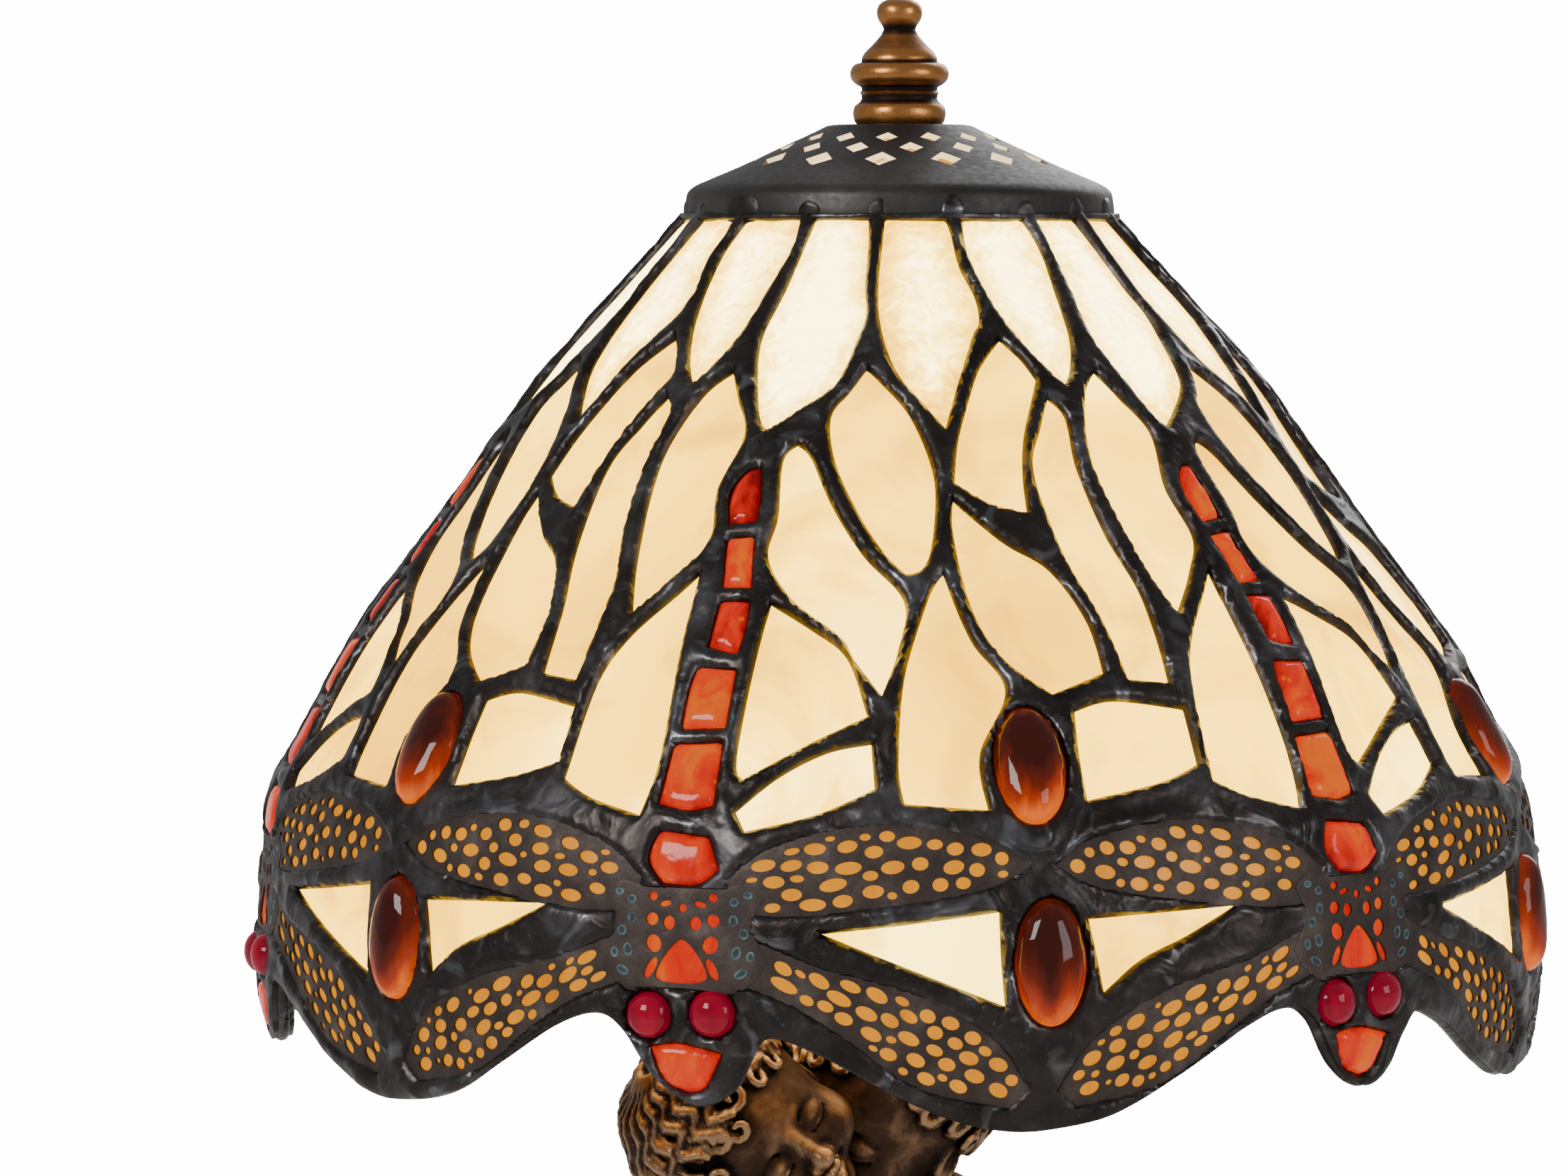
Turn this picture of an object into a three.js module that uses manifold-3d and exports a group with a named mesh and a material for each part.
// Stained glass table lamp with a six-dragonfly leaded shade on a cast base with two cherubs.
// Millimetres, +Z up. The origin is the middle of the felt pad's underside, on the lamp's axis,
// and the lamp's front looks along -Y. Angles round the shade run from the front towards +X.
import * as THREE from "three";
import { mergeVertices } from "three/addons/utils/BufferGeometryUtils.js";
import Module from "manifold-3d";

const wasm = await Module();
wasm.setup();

// ---------- driving dimensions ----------
const GAP = 0.3; // clearance between pieces that touch
const DRAGONFLIES = 6;
const SECTOR = 360 / DRAGONFLIES;
const FIRST_DRAGONFLY = -18.3; // degrees from the front to the first dragonfly's middle
const GLASS_THICKNESS = 3;
const LEAD_THICKNESS = 3.4;
const RIM_Z = 387; // where the glass meets the cap
const CAP_RADIUS = 43;
const CAP_TOP_Z = 405.6;
const CAP_WALL = 1.2;
const VENTS_PER_ROW = 14;
const FIRST_VENT = -7.3; // degrees from the front to the first vent of the outer row
const PIPE_RADIUS = 5;
const COLUMN_TOP_Z = 224;
const MOUND_TOP_Z = 50;
const PLINTH_TOP_Z = 36;
const FELT_THICKNESS = 2;
const SOCKET_BOTTOM_Z = 229.5;
const HARP_HALF_WIDTH = 48;
const HARP_FOOT_X = 26;
const HARP_FOOT_Z = 240;
const HARP_WIRE_RADIUS = 1.7;

// ---------- materials ----------
function material(color, roughness, metalness) {
  return new THREE.MeshStandardMaterial({ color, roughness, metalness });
}
const BRONZE = material(0x5a3c1e, 0.35, 0.9);
const CAST_BRONZE = material(0x4a3018, 0.45, 0.85);
const BLACK_PATINA = material(0x2b2723, 0.5, 0.7);
const BRASS = material(0xb08d3e, 0.3, 1);
const STEEL = material(0x9a9a98, 0.4, 1);
const CREAM_GLASS = material(0xf4dcae, 0.25, 0);
const AMBER_GLASS = material(0xef9a10, 0.25, 0);
const RED_GLASS = material(0xd8340f, 0.2, 0);
const BROWN_JEWEL = material(0x5a1405, 0.1, 0);
const CLEAR_GLASS = material(0xf6f2e8, 0.3, 0);
const CARD = material(0x3a3a38, 0.9, 0);
const KNOB_PLASTIC = material(0x17130f, 0.35, 0);
const FELT = material(0x1f3a26, 1, 0);

const lamp = new THREE.Group();

function place(name, geometry, look) {
  const mesh = new THREE.Mesh(geometry, look);
  mesh.name = name;
  lamp.add(mesh);
  return mesh;
}

// ---------- solids ----------
function solid(geometry) {
  const bare = geometry.clone();
  bare.deleteAttribute("normal");
  bare.deleteAttribute("uv");
  const merged = mergeVertices(bare, 1e-4);
  return new wasm.Manifold(
    new wasm.Mesh({
      numProp: 3,
      vertProperties: new Float32Array(merged.attributes.position.array),
      triVerts: new Uint32Array(merged.index.array),
    }),
  );
}

function geometryOf(manifold) {
  const mesh = manifold.getMesh();
  return new THREE.BufferGeometry()
    .setAttribute("position", new THREE.BufferAttribute(new Float32Array(mesh.vertProperties), 3))
    .setIndex(new THREE.BufferAttribute(new Uint32Array(mesh.triVerts), 1));
}

function joined(geometries) {
  return geometries.map(solid).reduce((whole, part) => whole.add(part));
}

// A turned piece. The profile is a list of [radius, height] that starts and ends on the axis or closes.
function turned(profile, segments = 24) {
  const points = profile.map(([r, z]) => new THREE.Vector2(r, z));
  return new THREE.LatheGeometry(points, segments).rotateX(Math.PI / 2);
}

// A turned ring: the profile is closed and stays off the axis.
function turnedRing(profile, segments = 24) {
  return turned([...profile, profile[0]], segments);
}

function ball(centre, radii, segments = 10, rows = 7) {
  return new THREE.SphereGeometry(1, segments, rows)
    .rotateX(Math.PI / 2)
    .scale(...radii)
    .translate(...centre);
}

// A round limb between two points with a different radius at each end.
function limb(start, end, startRadius, endRadius, sides = 8) {
  const from = new THREE.Vector3(...start);
  const along = new THREE.Vector3(...end).sub(from);
  const turn = new THREE.Quaternion().setFromUnitVectors(
    new THREE.Vector3(0, 1, 0),
    along.clone().normalize(),
  );
  return new THREE.CylinderGeometry(endRadius, startRadius, along.length(), sides)
    .translate(0, along.length() / 2, 0)
    .applyQuaternion(turn)
    .translate(from.x, from.y, from.z);
}

function tubeAlong(curve, radius, sides, steps) {
  const section = new THREE.Shape();
  for (let i = 0; i < sides; i++) {
    const angle = (2 * Math.PI * i) / sides;
    const [x, y] = [radius * Math.cos(angle), radius * Math.sin(angle)];
    if (i) section.lineTo(x, y);
    else section.moveTo(x, y);
  }
  return new THREE.ExtrudeGeometry(section, { steps, extrudePath: curve, bevelEnabled: false });
}

// ---------- the shade's surface ----------
// The outer profile as [radius, height below the rim], from the cap down to the lip.
const SHADE_PROFILE = [
  [43, 0], [56.4, 15], [71.6, 32.2], [84.3, 49.4], [96.6, 66.5], [109.2, 83.7], [118.8, 100.9],
  [126, 115.5], [128, 131], [129, 148], [127, 164], [124, 174],
];
const profileCurve = new THREE.SplineCurve(SHADE_PROFILE.map(([r, drop]) => new THREE.Vector2(r, drop)));
profileCurve.arcLengthDivisions = 400;
const PROFILE_LENGTH = profileCurve.getLength();

// The point that lies slant millimetres down the shade, at an angle in degrees, sunk below the surface.
function shadePoint(angle, slant, sunk) {
  const t = Math.min(1, Math.max(0, slant / PROFILE_LENGTH));
  const at = profileCurve.getPointAt(t);
  const along = profileCurve.getTangentAt(t);
  const radius = at.x - sunk * along.y;
  const height = RIM_Z - at.y - sunk * along.x;
  const turn = THREE.MathUtils.degToRad(angle);
  return new THREE.Vector3(radius * Math.sin(turn), -radius * Math.cos(turn), height);
}

// A curved slab of the shade, made of the cells that filled says, between two depths.
// corner gives the [angle, slant] of a grid corner. wraps joins the last column to the first.
function shadeSlab({ columns, rows, corner, filled = () => true, outer, inner, wraps = false }) {
  const positions = [];
  const index = [];
  const across = wraps ? columns : columns + 1;
  for (const sunk of [outer, inner])
    for (let j = 0; j <= rows; j++)
      for (let i = 0; i < across; i++) positions.push(...shadePoint(...corner(i, j), sunk).toArray());
  const vertex = (i, j, layer) => layer * across * (rows + 1) + j * across + (i % across);
  const full = (i, j) => {
    if (j < 0 || j >= rows) return false;
    if (wraps) return filled((i + columns) % columns, j);
    return i >= 0 && i < columns && filled(i, j);
  };
  const quad = (a, b, c, d) => index.push(a, b, c, a, c, d);
  for (let j = 0; j < rows; j++)
    for (let i = 0; i < columns; i++) {
      if (!full(i, j)) continue;
      const [a, b, c, d] = [[i, j], [i, j + 1], [i + 1, j + 1], [i + 1, j]];
      const out = [a, b, c, d].map(([x, y]) => vertex(x, y, 0));
      const back = [a, b, c, d].map(([x, y]) => vertex(x, y, 1));
      quad(...out);
      quad(back[3], back[2], back[1], back[0]);
      const sides = [[0, 1, i - 1, j], [1, 2, i, j + 1], [2, 3, i + 1, j], [3, 0, i, j - 1]];
      for (const [p, q, ni, nj] of sides) if (!full(ni, nj)) quad(out[q], out[p], back[p], back[q]);
    }
  const geometry = new THREE.BufferGeometry().setAttribute(
    "position",
    new THREE.Float32BufferAttribute(positions, 3),
  );
  geometry.setIndex(index);
  return geometryOf(solid(geometry));
}

// The lip's slant within one sector, from one dragonfly's head to the next.
const LIP = [
  [0, 189.5], [1.5, 190.6], [4.4, 187.5], [7.3, 177], [12, 180.3], [19, 188.8], [28.5, 195],
  [36.5, 192], [45.5, 180.3], [52.6, 173.8], [56.4, 181], [60, 189.5],
];
function lipSlant(angle) {
  const local = ((angle % SECTOR) + SECTOR) % SECTOR;
  const next = LIP.findIndex(([at]) => at > local);
  const [[a0, s0], [a1, s1]] = next < 0 ? [LIP.at(-2), LIP.at(-1)] : [LIP[next - 1], LIP[next]];
  const t = (local - a0) / (a1 - a0);
  return s0 + (s1 - s0) * t * t * (3 - 2 * t);
}

// ---------- leading, glass panels and dragonflies ----------
const RIB_HALF_ANGLE = 2.6;
const TOP_BAND = 6; // slant where the leading's top ring ends
const WING_SEAM = 139; // slant where the background glass ends and the wing panel starts
const RIB_END = 178;
const PANEL_MARGIN = 0.35; // degrees between a panel and the rib beside it
const BODY_START = 58;
const BODY_END = 186;

function leadingFrame() {
  const sectorAngles = [-RIB_HALF_ANGLE, RIB_HALF_ANGLE, 18, 32, 45];
  const perSector = sectorAngles.length;
  const slants = [0.8, TOP_BAND, 28, 50, 72, 94, 116, 138, 158, RIB_END];
  const corner = (i, j) => {
    const sector = Math.floor(i / perSector);
    return [FIRST_DRAGONFLY + sector * SECTOR + sectorAngles[i % perSector], slants[j]];
  };
  const isRib = (i) => i % perSector === 0;
  return shadeSlab({
    columns: perSector * DRAGONFLIES,
    rows: slants.length - 1,
    corner,
    filled: (i, j) => isRib(i) || j === 0,
    outer: 0,
    inner: LEAD_THICKNESS,
    wraps: true,
  });
}

function sectorPanel(sector, columns, rows, slantAt) {
  const start = FIRST_DRAGONFLY + sector * SECTOR + RIB_HALF_ANGLE + PANEL_MARGIN;
  const width = SECTOR - 2 * (RIB_HALF_ANGLE + PANEL_MARGIN);
  const corner = (i, j) => {
    const angle = start + (width * i) / columns;
    return [angle, slantAt(angle - FIRST_DRAGONFLY - sector * SECTOR, j / rows)];
  };
  return shadeSlab({ columns, rows, corner, outer: 0.2, inner: 0.2 + GLASS_THICKNESS });
}

function backgroundPanel(sector) {
  const [top, bottom] = [TOP_BAND + GAP, WING_SEAM - GAP];
  return sectorPanel(sector, 5, 6, (local, t) => top + (bottom - top) * t);
}

const LIP_WIRE_RADIUS = 1.3;
function wingPanel(sector) {
  const top = WING_SEAM + GAP;
  const margin = LIP_WIRE_RADIUS * 2 + 1.4;
  return sectorPanel(sector, 12, 2, (local, t) => top + (lipSlant(local) - margin - top) * t);
}

// A flat-backed dome that lies on the shade, its height given by rise.
function cabochon(angle, slant, halfWidth, halfHeight, rise, segments) {
  const at = shadePoint(angle, slant, -GAP - 0.2);
  const above = shadePoint(angle, slant - 1, -GAP - 0.2);
  const out = shadePoint(angle, slant, -10).sub(at).normalize();
  const up = above.sub(at).normalize();
  const basis = new THREE.Matrix4().makeBasis(up.clone().cross(out), up, out).setPosition(at);
  const arc = [0, 30, 60, 90].map((degrees) => THREE.MathUtils.degToRad(degrees));
  const profile = [[0, 0], ...arc.map((turn) => [Math.cos(turn), Math.sin(turn)])];
  profile[profile.length - 1][0] = 0;
  const shape = turned(profile, segments).scale(halfWidth, halfHeight, rise);
  return shape.applyMatrix4(basis);
}

const EYE_RADIUS = 3.6;
function dragonflyBody(sector) {
  const middle = FIRST_DRAGONFLY + sector * SECTOR + 0.2;
  const halfAngle = (slant) => (slant < 70 ? 1.4 : slant < 150 ? 2.3 : 3.2);
  const slants = [BODY_START, 70, 92, 114, 138, 152, 168, BODY_END];
  const strip = shadeSlab({
    columns: 2,
    rows: slants.length - 1,
    corner: (i, j) => [middle + (i - 1) * halfAngle(slants[j]), slants[j]],
    outer: -2.4,
    inner: -GAP - 0.4,
  });
  const eyes = [-1, 1].map((side) => cabochon(middle + 2 * side, 173, EYE_RADIUS, EYE_RADIUS, 4.6, 8));
  return geometryOf(joined([strip, ...eyes]));
}

const OVAL_HALF_WIDTH = 6.3;
const OVAL_HALF_HEIGHT = 11.5;
const OVAL_RISE = 5;
function ovalJewel(sector, local, slant) {
  const angle = FIRST_DRAGONFLY + sector * SECTOR + local;
  return cabochon(angle, slant, OVAL_HALF_WIDTH, OVAL_HALF_HEIGHT, OVAL_RISE, 12);
}

function lipWire() {
  const points = [];
  const perSector = 12;
  for (let i = 0; i < DRAGONFLIES * perSector; i++) {
    const angle = FIRST_DRAGONFLY + (i * SECTOR) / perSector;
    points.push(shadePoint(angle, lipSlant(angle - FIRST_DRAGONFLY) - LIP_WIRE_RADIUS, 1.8));
  }
  const path = new THREE.CatmullRomCurve3(points, true);
  const sides = 4;
  const steps = points.length;
  const positions = [];
  const index = [];
  for (let i = 0; i < steps; i++) {
    const at = path.getPoint(i / steps);
    const out = new THREE.Vector3(at.x, at.y, 0).normalize();
    for (let k = 0; k < sides; k++) {
      const turn = (2 * Math.PI * k) / sides;
      const point = at.clone().addScaledVector(out, LIP_WIRE_RADIUS * Math.cos(turn));
      point.z += LIP_WIRE_RADIUS * Math.sin(turn);
      positions.push(...point.toArray());
    }
  }
  for (let i = 0; i < steps; i++)
    for (let k = 0; k < sides; k++) {
      const [i2, k2] = [(i + 1) % steps, (k + 1) % sides];
      const [a, b, c, d] = [[i, k], [i2, k], [i2, k2], [i, k2]].map(([p, q]) => p * sides + q);
      index.push(a, b, c, a, c, d);
    }
  const geometry = new THREE.BufferGeometry().setAttribute(
    "position",
    new THREE.Float32BufferAttribute(positions, 3),
  );
  geometry.setIndex(index);
  return geometry;
}

place("leading_frame", leadingFrame(), BLACK_PATINA);
place("lip_wire", lipWire(), BLACK_PATINA);
for (let k = 0; k < DRAGONFLIES; k++) {
  place(`background_glass_${k + 1}`, backgroundPanel(k), CREAM_GLASS);
  place(`wing_panel_${k + 1}`, wingPanel(k), AMBER_GLASS);
  place(`dragonfly_body_${k + 1}`, dragonflyBody(k), RED_GLASS);
  place(`upper_oval_jewel_${k + 1}`, ovalJewel(k, 30, 126.7), BROWN_JEWEL);
  place(`lower_oval_jewel_${k + 1}`, ovalJewel(k, 30.8, 163.7), BROWN_JEWEL);
}

// ---------- vented cap ----------
const STUD_HOLE_RADIUS = 3.7;
function ventedCap() {
  const outer = [
    [13.6, CAP_TOP_Z], [17, 404.4], [39, 393.9], [42.2, 391.4],
    [CAP_RADIUS, 389], [CAP_RADIUS, RIM_Z + GAP],
  ];
  const inner = [
    [CAP_RADIUS - CAP_WALL, RIM_Z + GAP], [CAP_RADIUS - CAP_WALL, 388.8], [41.2, 390.6],
    [38.3, 392.7], [16.6, 403], [13.3, CAP_TOP_Z - CAP_WALL],
    [STUD_HOLE_RADIUS, CAP_TOP_Z - CAP_WALL],
  ];
  const shell = turnedRing([[STUD_HOLE_RADIUS, CAP_TOP_Z], ...outer, ...inner].reverse(), 24);
  let cap = solid(shell);
  const rows = [[19.6, 403, 2.1, 0], [24, 401, 2.5, 0.5], [28.6, 398.9, 3, 0]];
  for (const [radius, height, half, shift] of rows)
    for (let k = 0; k < VENTS_PER_ROW; k++) {
      const vent = new THREE.CylinderGeometry(half, half, 8, 4)
        .rotateX(Math.PI / 2)
        .translate(radius, 0, height)
        .rotateZ(THREE.MathUtils.degToRad(FIRST_VENT - 90 + ((k + shift) * 360) / VENTS_PER_ROW));
      cap = cap.subtract(solid(vent));
    }
  return geometryOf(cap);
}
place("vented_cap", ventedCap(), BLACK_PATINA);

// ---------- finial and the harp's swivel stud ----------
const WASHER_THICKNESS = 0.5;
const FINIAL_BASE_Z = CAP_TOP_Z + 2 * GAP + WASHER_THICKNESS;
const STUD_RADIUS = 3.1;
function finial() {
  const outer = [
    [8.4, 0], [9.3, 1.4], [8.9, 3.1], [7.7, 4.4], [7.7, 5.8], [9.4, 7.7], [9.9, 9], [9.6, 10.4],
    [7.6, 11.5], [7.2, 13], [5, 15.6], [3.2, 17.6], [3.2, 18.8], [4.4, 21.2], [4.1, 23], [0, 24.2],
  ].map(([r, up]) => [r, FINIAL_BASE_Z + up]);
  const bore = [
    [0, FINIAL_BASE_Z + 10], [STUD_RADIUS + 0.25, FINIAL_BASE_Z + 9],
    [STUD_RADIUS + 0.25, FINIAL_BASE_Z],
  ];
  return turned([...bore, ...outer], 16);
}
place("finial", finial(), BRONZE);
place(
  "finial_washer",
  turnedRing(
    [
      [STUD_RADIUS + GAP, CAP_TOP_Z + GAP], [6.6, CAP_TOP_Z + GAP],
      [6.6, CAP_TOP_Z + GAP + WASHER_THICKNESS], [STUD_RADIUS + GAP, CAP_TOP_Z + GAP + WASHER_THICKNESS],
    ],
    16,
  ),
  BRASS,
);

const SEAT_TOP_Z = CAP_TOP_Z - CAP_WALL - GAP;
place(
  "swivel_stud",
  turned(
    [
      [0, SEAT_TOP_Z - 2], [9.5, SEAT_TOP_Z - 2], [9.5, SEAT_TOP_Z], [STUD_RADIUS, SEAT_TOP_Z],
      [STUD_RADIUS, FINIAL_BASE_Z + 7.6], [STUD_RADIUS - 0.6, FINIAL_BASE_Z + 8.2], [0, FINIAL_BASE_Z + 8.2],
    ],
    20,
  ),
  BRASS,
);

// ---------- harp, saddle and sleeves ----------
const HARP_TOP_Z = SEAT_TOP_Z - 2 - GAP - 2.6;
function harp() {
  const half = [
    [HARP_FOOT_X, HARP_FOOT_Z], [HARP_FOOT_X, 249], [HARP_FOOT_X, 258], [HARP_FOOT_X + 1, 268],
    [35, 284], [HARP_HALF_WIDTH - 2, 304], [HARP_HALF_WIDTH, 326], [HARP_HALF_WIDTH - 4, 350],
    [33, 374], [17, 393],
  ];
  const left = half.map(([x, z]) => new THREE.Vector3(-x, 0, z));
  const right = half.map(([x, z]) => new THREE.Vector3(x, 0, z)).reverse();
  const path = new THREE.CatmullRomCurve3([...left, new THREE.Vector3(0, 0, HARP_TOP_Z), ...right]);
  const wire = tubeAlong(path, HARP_WIRE_RADIUS, 6, 32);
  const [plateBottom, plateTop] = [HARP_TOP_Z - 1, HARP_TOP_Z + 2.6];
  const plate = turned([[0, plateBottom], [7, plateBottom], [7, plateTop], [0, plateTop]], 16);
  return geometryOf(joined([wire, plate]));
}
place("harp", harp(), BRASS);

const SADDLE_Z = COLUMN_TOP_Z + GAP;
const SLEEVE_BOTTOM_Z = 232;
function harpSaddle() {
  const plate = new THREE.BoxGeometry(2 * HARP_FOOT_X + 6, 10, 2.2).translate(0, 0, SADDLE_Z + 1.1);
  const hub = turned([[0, SADDLE_Z], [9, SADDLE_Z], [9, SADDLE_Z + 2.2], [0, SADDLE_Z + 2.2]], 20);
  const post = (side, radius, top) =>
    new THREE.CylinderGeometry(radius, radius, top - SADDLE_Z, 8)
      .rotateX(Math.PI / 2)
      .translate(side * HARP_FOOT_X, 0, (SADDLE_Z + top) / 2);
  const arms = [-1, 1].flatMap((side) => [
    post(side, HARP_WIRE_RADIUS, HARP_FOOT_Z - GAP),
    post(side, 3, SLEEVE_BOTTOM_Z - GAP),
  ]);
  const hole = new THREE.CylinderGeometry(PIPE_RADIUS + GAP, PIPE_RADIUS + GAP, 20, 20)
    .rotateX(Math.PI / 2)
    .translate(0, 0, SADDLE_Z);
  return geometryOf(joined([plate, hub, ...arms]).subtract(solid(hole)));
}
place("harp_saddle", harpSaddle(), BRASS);

for (const [side, name] of [[-1, "left"], [1, "right"]]) {
  const sleeve = turnedRing(
    [
      [2.2, SLEEVE_BOTTOM_Z], [3.3, SLEEVE_BOTTOM_Z], [3.7, 233], [3.7, 246], [3.1, 248], [2.2, 248],
    ],
    12,
  ).translate(side * HARP_FOOT_X, 0, 0);
  place(`harp_sleeve_${name}`, sleeve, BRASS);
}

// ---------- socket, knob and bulb ----------
place(
  "socket_cap",
  turnedRing(
    [
      [PIPE_RADIUS + GAP, SOCKET_BOTTOM_Z], [8, SOCKET_BOTTOM_Z], [8.6, 233], [13, 237], [16.8, 241],
      [17.4, 249], [16.2, 249], [15.6, 242], [12, 238.6], [7, 236], [PIPE_RADIUS + GAP, 236],
    ],
    18,
  ),
  BRASS,
);

const SHELL_BOTTOM_Z = 249.3;
const SHELL_TOP_Z = 288;
const KNOB_Z = 258;
function socketShell() {
  const shell = turnedRing(
    [
      [16.2, SHELL_BOTTOM_Z], [17.2, SHELL_BOTTOM_Z], [18, 251], [18, 264], [18.8, 266],
      [18.8, SHELL_TOP_Z], [17.8, SHELL_TOP_Z], [17.8, 266.6], [16.8, 264.4], [16.8, 252],
    ],
    18,
  );
  const knobHole = new THREE.CylinderGeometry(2.6, 2.6, 20, 12).translate(0, -17, KNOB_Z);
  return geometryOf(solid(shell).subtract(solid(knobHole)));
}
place("socket_shell", socketShell(), BRASS);

function socketLiner() {
  return turnedRing([[14.4, 266], [16.2, 266], [17.2, 268], [17.2, 287], [14.4, 287]], 18);
}
place("socket_liner", socketLiner(), CARD);

const CORE_TOP_Z = 265;
place(
  "socket_core",
  turned(
    [
      [0, 250.5], [14, 250.5], [15.4, 252], [15.4, 263], [12.6, CORE_TOP_Z], [3, CORE_TOP_Z],
      [3, CORE_TOP_Z + 1], [0, CORE_TOP_Z + 1],
    ],
    20,
  ),
  CARD,
);

function switchKnob() {
  const shaft = new THREE.CylinderGeometry(2.1, 2.1, 12.2, 12).translate(0, -22.2, KNOB_Z);
  const grip = new THREE.CylinderGeometry(3.6, 4.2, 5, 12).translate(0, -27.4, KNOB_Z);
  const paddle = new THREE.BoxGeometry(12, 9, 3.4).translate(0, -34, KNOB_Z);
  return geometryOf(joined([shaft, grip, paddle]));
}
place("switch_knob", switchKnob(), KNOB_PLASTIC);

const CONTACT_Z = CORE_TOP_Z + 1 + GAP;
place(
  "bulb_contact",
  turned([[0, CONTACT_Z], [4, CONTACT_Z], [4.8, 267], [4.8, 268], [0, 268]], 16),
  BLACK_PATINA,
);
place(
  "bulb_base",
  turned(
    [[0, 268.3], [5.5, 268.3], [12.9, 272], [13.2, 274], [13.2, 290], [12.6, 291], [0, 291]],
    18,
  ),
  STEEL,
);
const BULB_RADIUS = 30;
const BULB_WALL = 1;
function bulbGlass() {
  const outer = [
    [12.4, 291.3], [14, 297], [16.5, 305], [21.5, 316], [27, 326], [BULB_RADIUS, 338],
    [BULB_RADIUS, 345], [27, 355], [19, 364.5], [0, 369.5],
  ];
  const inner = outer.map(([r, z]) => [Math.max(0, r - BULB_WALL), z]).reverse();
  inner[0][1] -= BULB_WALL;
  inner[1][1] -= BULB_WALL;
  return turned([...inner, ...outer], 16);
}
place("bulb_glass", bulbGlass(), CLEAR_GLASS);

// ---------- pipe, column, plinth and mound ----------
place(
  "lamp_pipe",
  turnedRing([[3.3, 13], [PIPE_RADIUS, 13], [PIPE_RADIUS, 235], [3.3, 235]], 20),
  STEEL,
);

const COLUMN_BOTTOM_Z = MOUND_TOP_Z - 4;
const COLUMN_FLUTES = 8;
// The reeded stem. grow widens it, for cutting clearance in the castings that lean on it.
function column(grow = 0) {
  const stations = [
    [COLUMN_BOTTOM_Z, 11.5], [58, 9.4], [110, 8.2], [170, 7.4], [206, 7.2], [212, 8.6], [216, 9.6],
    [220, 9.2], [COLUMN_TOP_Z, 9.8],
  ];
  const sides = 2 * COLUMN_FLUTES;
  const positions = [];
  const index = [];
  for (const [z, radius] of stations)
    for (let k = 0; k < sides; k++) {
      const reach = radius + grow + (k % 2 ? 0.5 : -0.3);
      const turn = (2 * Math.PI * k) / sides;
      positions.push(reach * Math.cos(turn), reach * Math.sin(turn), z);
    }
  const last = (stations.length - 1) * sides;
  positions.push(0, 0, COLUMN_BOTTOM_Z, 0, 0, COLUMN_TOP_Z);
  const [bottom, top] = [stations.length * sides, stations.length * sides + 1];
  for (let k = 0; k < sides; k++) {
    const next = (k + 1) % sides;
    index.push(bottom, next, k, top, last + k, last + next);
    for (let i = 0; i < stations.length - 1; i++) {
      const [a, b] = [i * sides + k, i * sides + next];
      index.push(a, b, b + sides, a, b + sides, a + sides);
    }
  }
  const geometry = new THREE.BufferGeometry().setAttribute(
    "position",
    new THREE.Float32BufferAttribute(positions, 3),
  );
  geometry.setIndex(index);
  return geometry;
}
const pipeHole = solid(
  new THREE.CylinderGeometry(PIPE_RADIUS + GAP, PIPE_RADIUS + GAP, 500, 20).rotateX(Math.PI / 2),
);
place("reeded_stem", geometryOf(solid(column()).subtract(pipeHole)), CAST_BRONZE);

function plinth() {
  const floor = FELT_THICKNESS + GAP;
  const outer = [
    [71, floor], [77, 7], [76, 11.5], [70, 15], [71.5, 19], [72, 22.5], [68.5, 26], [56.5, 31],
    [54, PLINTH_TOP_Z],
  ];
  const inner = [
    [PIPE_RADIUS + GAP, PLINTH_TOP_Z], [PIPE_RADIUS + GAP, 20], [15, 20], [17, 29], [48, 29],
    [63.5, 20.5], [64, floor],
  ];
  const body = solid(turnedRing([...outer, ...inner], 28));
  const inlet = new THREE.CylinderGeometry(5, 5, 30, 14).translate(0, 68, 9.5);
  return geometryOf(body.subtract(solid(inlet)));
}
place("plinth", plinth(), CAST_BRONZE);

function cordBushing() {
  const bush = turnedRing(
    [[3.2, 0], [4.7, 0], [4.7, 9.2], [6.4, 9.8], [6.4, 12], [5.4, 13.6], [3.2, 13.6]],
    14,
  );
  return bush.rotateX(-Math.PI / 2).translate(0, 67.4, 9.5);
}
place("cord_bushing", cordBushing(), KNOB_PLASTIC);

place("felt_pad", turned([[0, 0], [70.5, 0], [70.5, FELT_THICKNESS], [0, FELT_THICKNESS]], 32), FELT);
place(
  "pipe_washer",
  turnedRing([[PIPE_RADIUS + GAP, 18], [13.5, 18], [13.5, 19.7], [PIPE_RADIUS + GAP, 19.7]], 20),
  STEEL,
);
const nut = new THREE.CylinderGeometry(9, 9, 4.5, 6).rotateX(Math.PI / 2).translate(0, 0, 15.4);
place("pipe_nut", geometryOf(solid(nut).subtract(pipeHole)), BRASS);

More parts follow.
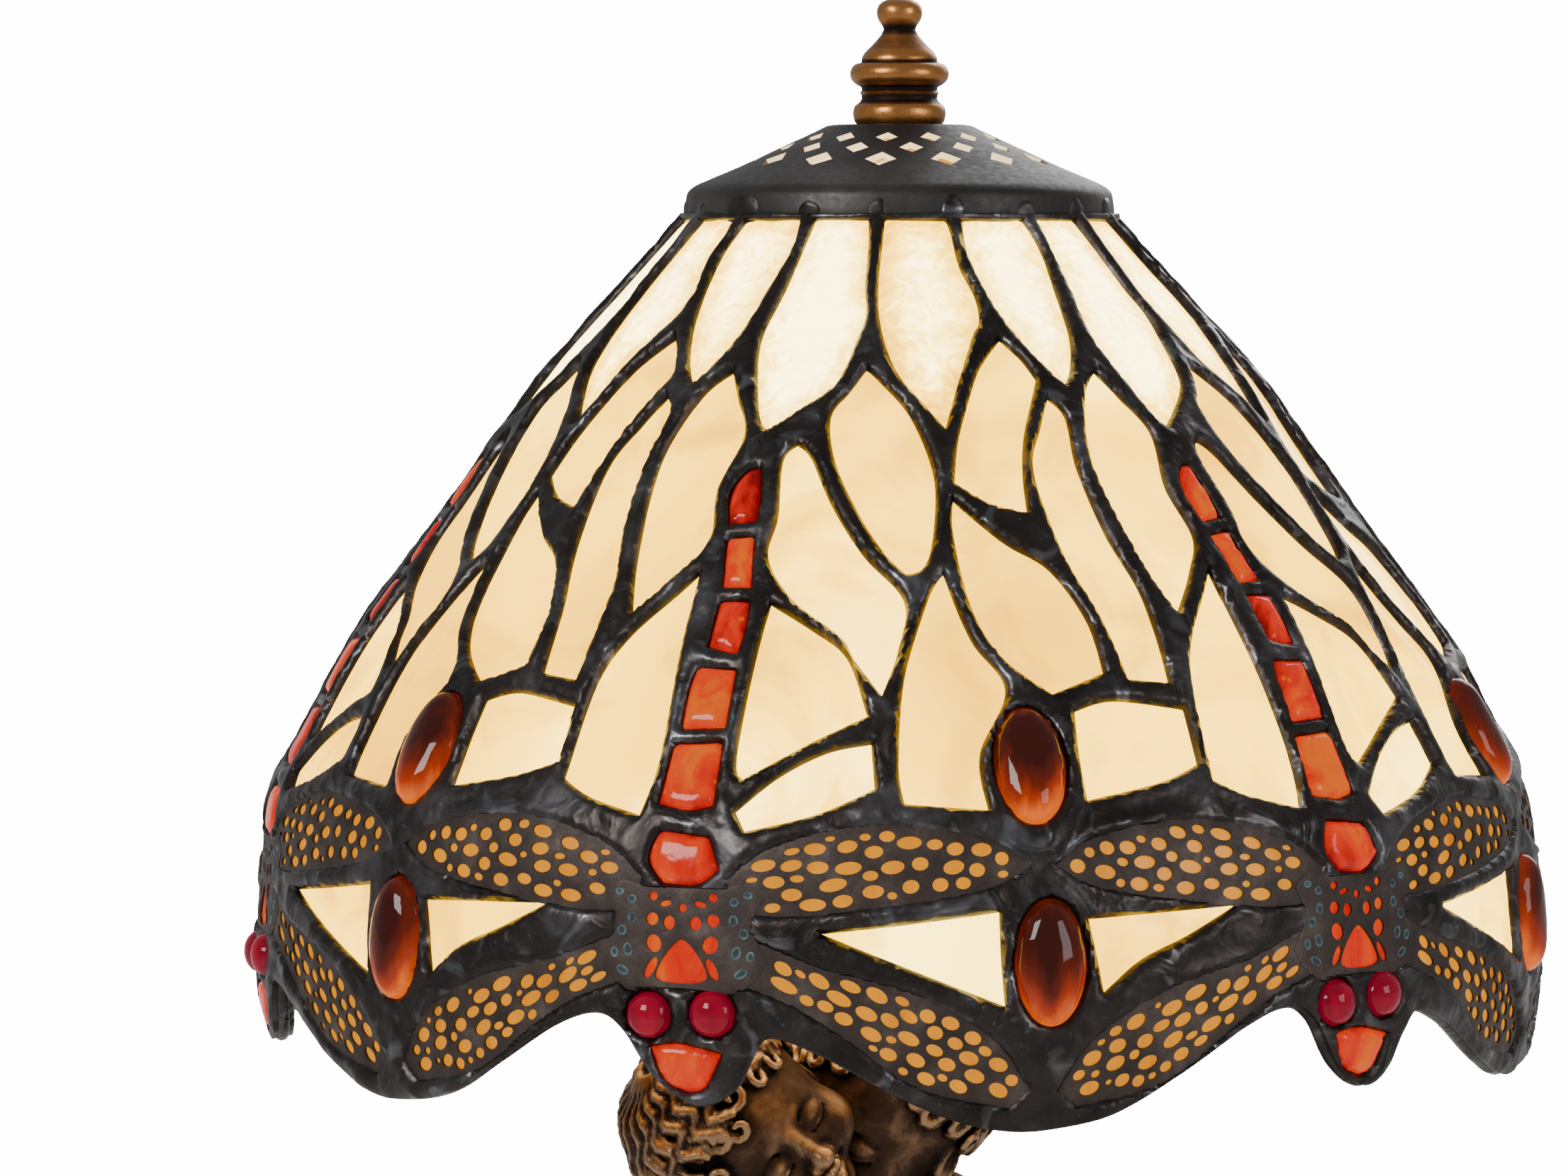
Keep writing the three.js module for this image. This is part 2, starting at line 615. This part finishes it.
function mound() {
  const rows = [[0, 53], [0.35, 52.5], [0.8, 50.5], [1, 47]];
  const sides = 24;
  const base = PLINTH_TOP_Z + GAP;
  const positions = [];
  const index = [];
  rows.forEach(([up, radius], row) => {
    for (let k = 0; k < sides; k++) {
      const turn = (2 * Math.PI * k) / sides;
      const wobble = row ? 1.3 * Math.sin(3 * turn + row) + 0.9 * Math.cos(7 * turn - row) : 0;
      const z = base + up * (MOUND_TOP_Z - base) + (row === 2 ? 0.5 * wobble : 0);
      positions.push((radius + wobble) * Math.cos(turn), (radius + wobble) * Math.sin(turn), z);
    }
  });
  positions.push(0, 0, base, 0, 0, MOUND_TOP_Z);
  const [bottom, top] = [rows.length * sides, rows.length * sides + 1];
  const last = (rows.length - 1) * sides;
  for (let k = 0; k < sides; k++) {
    const next = (k + 1) % sides;
    index.push(bottom, next, k, top, last + k, last + next);
    for (let i = 0; i < rows.length - 1; i++) {
      const [a, b] = [i * sides + k, i * sides + next];
      index.push(a, b, b + sides, a, b + sides, a + sides);
    }
  }
  const geometry = new THREE.BufferGeometry().setAttribute(
    "position",
    new THREE.Float32BufferAttribute(positions, 3),
  );
  geometry.setIndex(index);
  return geometryOf(solid(geometry).subtract(solid(column(GAP))).subtract(pipeHole));
}
place("rock_mound", mound(), CAST_BRONZE);

// ---------- cherubs ----------
// Each figure is a set of balls and limbs between the joints of its skeleton.
const FOOT_Z = MOUND_TOP_Z + GAP;
const LEFT_CHERUB = {
  head: [-33.5, -46, 208.5],
  chest: [-31, -30, 171],
  belly: [-30, -30, 149],
  pelvis: [-29, -27, 131],
  arms: [
    { shoulder: [-45, -29, 177], elbow: [-53, -38, 155], hand: [-41, -50, 141] },
    { shoulder: [-18, -33, 178], elbow: [-5, -40, 164], hand: [10, -32, 172] },
  ],
  legs: [
    { hip: [-36, -25, 125], knee: [-38, -31, 96], ankle: [-37, -20], toe: [-37, -30] },
    { hip: [-21, -27, 125], knee: [-21, -34, 97], ankle: [-20, -24], toe: [-19, -36] },
  ],
};
const RIGHT_CHERUB = {
  head: [-3.4, -21, 205],
  chest: [23, -8, 166],
  belly: [27, -6, 146],
  pelvis: [29, -3, 130],
  arms: [
    { shoulder: [12, -17, 174], elbow: [-3, -21, 160], hand: [-14, -16, 150] },
    { shoulder: [36, -4, 174], elbow: [47, -12, 154], hand: [38, -26, 142] },
  ],
  legs: [
    { hip: [22, -6, 124], knee: [21, -16, 96], ankle: [21, -8], toe: [18, -20] },
    { hip: [36, -2, 124], knee: [41, -8, 96], ankle: [38, -2], toe: [44, -11] },
  ],
};
const HEAD_RADIUS = 20.5;
const FIGURE_GAP = 0.5; // clearance between the figures, and between them and the stem
const FACET_TOLERANCE = 0.3; // how far simplifying may move a figure's surface
const SPACE_TOLERANCE = 0.1; // the same for the spaces that are cut from a neighbour

function figure(joints, grow = 0) {
  const round = (centre, radii, segments, rows) =>
    ball(centre, radii.map((radius) => radius + grow), segments, rows);
  const bone = (start, end, startRadius, endRadius) =>
    limb(start, end, startRadius + grow, endRadius + grow, 6);
  const pieces = [
    round(joints.head, [HEAD_RADIUS, HEAD_RADIUS, HEAD_RADIUS], 10, 7),
    bone(joints.chest, joints.head, 10, 8.5),
    round(joints.chest, [16.5, 13.5, 15], 8, 6),
    round(joints.belly, [15.5, 14.5, 16], 8, 6),
    round(joints.pelvis, [17, 14, 13], 8, 6),
  ];
  for (const { shoulder, elbow, hand } of joints.arms)
    pieces.push(
      bone(joints.chest, shoulder, 9, 7),
      bone(shoulder, elbow, 7.2, 5.8),
      round(shoulder, [7.6, 7.6, 7.6], 6, 4),
      bone(elbow, hand, 5.9, 4.4),
      round(hand, [5.4, 5.4, 5.4], 6, 4),
    );
  for (const { hip, knee, ankle, toe } of joints.legs) {
    const heel = [ankle[0], ankle[1], FOOT_Z + 5];
    pieces.push(
      bone(joints.pelvis, hip, 11, 10.5),
      bone(hip, knee, 11, 8),
      round(knee, [8.2, 8.2, 8.2], 6, 4),
      bone(knee, heel, 8.2, 5.8),
      bone(heel, [...toe, FOOT_Z + 4], 6.4, 5),
    );
  }
  const ground = new THREE.BoxGeometry(300, 300, 60).translate(0, 0, FOOT_Z - 30 - grow);
  return joined(pieces).subtract(solid(ground)).simplify(grow ? SPACE_TOLERANCE : FACET_TOLERANCE);
}
const stemSpace = solid(column(FIGURE_GAP));
const leftCherub = figure(LEFT_CHERUB).subtract(stemSpace);
const leftSpace = figure(LEFT_CHERUB, FIGURE_GAP);
const rightCherub = figure(RIGHT_CHERUB).subtract(stemSpace).subtract(leftSpace);
const rightSpace = figure(RIGHT_CHERUB, FIGURE_GAP);
place("cherub_left", geometryOf(leftCherub), CAST_BRONZE);
place("cherub_right", geometryOf(rightCherub), CAST_BRONZE);

// A feathered wing as a flat casting: its root is at the origin, it spreads along +X and rises along +Y.
const WING_THICKNESS = 3.6;
function wing() {
  const outline = new THREE.Shape();
  outline.moveTo(0, -7);
  outline.lineTo(0, 7);
  outline.quadraticCurveTo(8, 24, 24, 27);
  outline.quadraticCurveTo(36, 27, 37, 12);
  outline.quadraticCurveTo(37, -14, 24, -33);
  outline.quadraticCurveTo(12, -30, 0, -7);
  return new THREE.ExtrudeGeometry(outline, { depth: WING_THICKNESS, bevelEnabled: false, curveSegments: 4 })
    .translate(0, 0, -WING_THICKNESS / 2)
    .rotateX(Math.PI / 2);
}
// Each pair is one casting: a plate on the back and two wings, spread in degrees from +X.
const WING_PAIRS = [
  ["cherub_left_wings", [-33, -13, 171], [160, 88]],
  ["cherub_right_wings", [29, 9, 167], [16, 96]],
];
const taken = leftSpace.add(rightSpace).add(stemSpace);
for (const [name, root, spreads] of WING_PAIRS) {
  const parts = spreads.map((spread) => wing().rotateZ(THREE.MathUtils.degToRad(spread)).translate(...root));
  parts.push(ball(root, [5, 5, 9]));
  place(name, geometryOf(joined(parts).subtract(taken)), CAST_BRONZE);
}

export default lamp;
